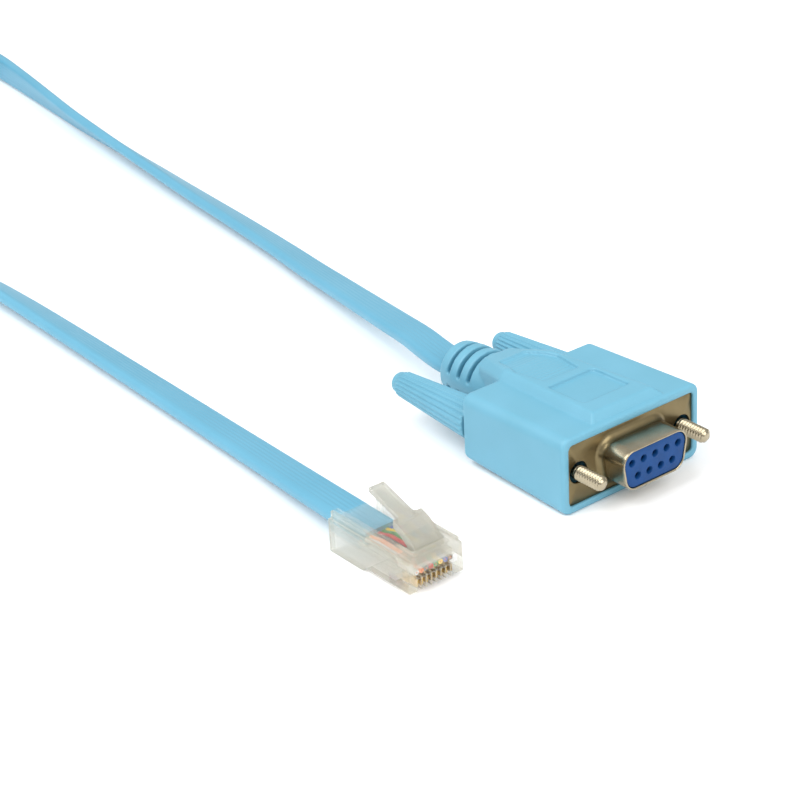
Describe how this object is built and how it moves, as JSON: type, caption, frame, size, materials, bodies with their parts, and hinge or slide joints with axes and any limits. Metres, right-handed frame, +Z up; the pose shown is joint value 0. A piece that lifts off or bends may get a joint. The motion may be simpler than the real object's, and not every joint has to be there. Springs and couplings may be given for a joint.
{
  "type": "console cable",
  "caption": "Flat eight-core console lead with a moulded D-sub socket connector with thumbscrews at one end and a clear modular plug at the other.",
  "frame": {"origin": "centre of the D-sub connector's box, on the level surface that the cable lies on; the lead and the modular plug aren't counted", "axes": "+X the way both ends plug in, +Z up, +Y to the right seen from behind the D-sub connector, so the modular plug lies at -Y"},
  "size_m": [0.3803, 0.0908, 0.0167],
  "materials": {
    "moulded_pvc": "light-blue moulded PVC, satin",
    "cable_jacket": "light-blue extruded PVC, satin",
    "nickel_steel": "nickel-plated steel",
    "insulator_blue": "royal-blue moulded thermoplastic",
    "gold": "gold-plated contact",
    "clear_polycarbonate": "clear moulded polycarbonate",
    "tie": "black woven hook-and-loop strap",
    "wire_grey": "light grey core insulation",
    "wire_orange": "orange core insulation",
    "wire_black": "black core insulation",
    "wire_red": "red core insulation",
    "wire_green": "green core insulation",
    "wire_yellow": "yellow core insulation",
    "wire_blue": "blue core insulation",
    "wire_brown": "brown core insulation"
  },
  "bodies": {
    "cable": {"hood": "moulded_pvc", "front_shell": "nickel_steel", "insulator": "insulator_blue", "socket_1": "gold", "socket_2": "gold", "socket_3": "gold", "socket_4": "gold", "socket_5": "gold", "socket_6": "gold", "socket_7": "gold", "socket_8": "gold", "socket_9": "gold", "cable_run_db9": "cable_jacket", "cable_coil": "cable_jacket", "coil_tie": "tie", "cable_run_rj45": "cable_jacket", "plug_housing": "clear_polycarbonate", "plug_wire_1": "wire_grey", "plug_wire_2": "wire_orange", "plug_wire_3": "wire_black", "plug_wire_4": "wire_red", "plug_wire_5": "wire_green", "plug_wire_6": "wire_yellow", "plug_wire_7": "wire_blue", "plug_wire_8": "wire_brown", "plug_contact_1": "gold", "plug_contact_2": "gold", "plug_contact_3": "gold", "plug_contact_4": "gold", "plug_contact_5": "gold", "plug_contact_6": "gold", "plug_contact_7": "gold", "plug_contact_8": "gold"},
    "thumbscrew_left": {"jackscrew_left": "nickel_steel", "thumb_grip_left": "moulded_pvc"},
    "thumbscrew_right": {"jackscrew_right": "nickel_steel", "thumb_grip_right": "moulded_pvc"},
    "latch": {"plug_latch": "clear_polycarbonate"}
  },
  "joints": [
    {"name": "thumbscrew_left_turn", "type": "hinge", "parent": "cable", "child": "thumbscrew_left", "pos_m": [0, -0.01249, 0.0075], "axis": [1, 0, 0], "continuous": true},
    {"name": "thumbscrew_right_turn", "type": "hinge", "parent": "cable", "child": "thumbscrew_right", "pos_m": [0, 0.01249, 0.0075], "axis": [1, 0, 0], "continuous": true},
    {"name": "plug_latch_press", "type": "hinge", "parent": "cable", "child": "latch", "pos_m": [0.02205, -0.0466, 0.0066], "axis": [0, -1, 0], "range_deg": [0, 12], "stiffness_Nm_per_rad": 0.25}
  ]
}
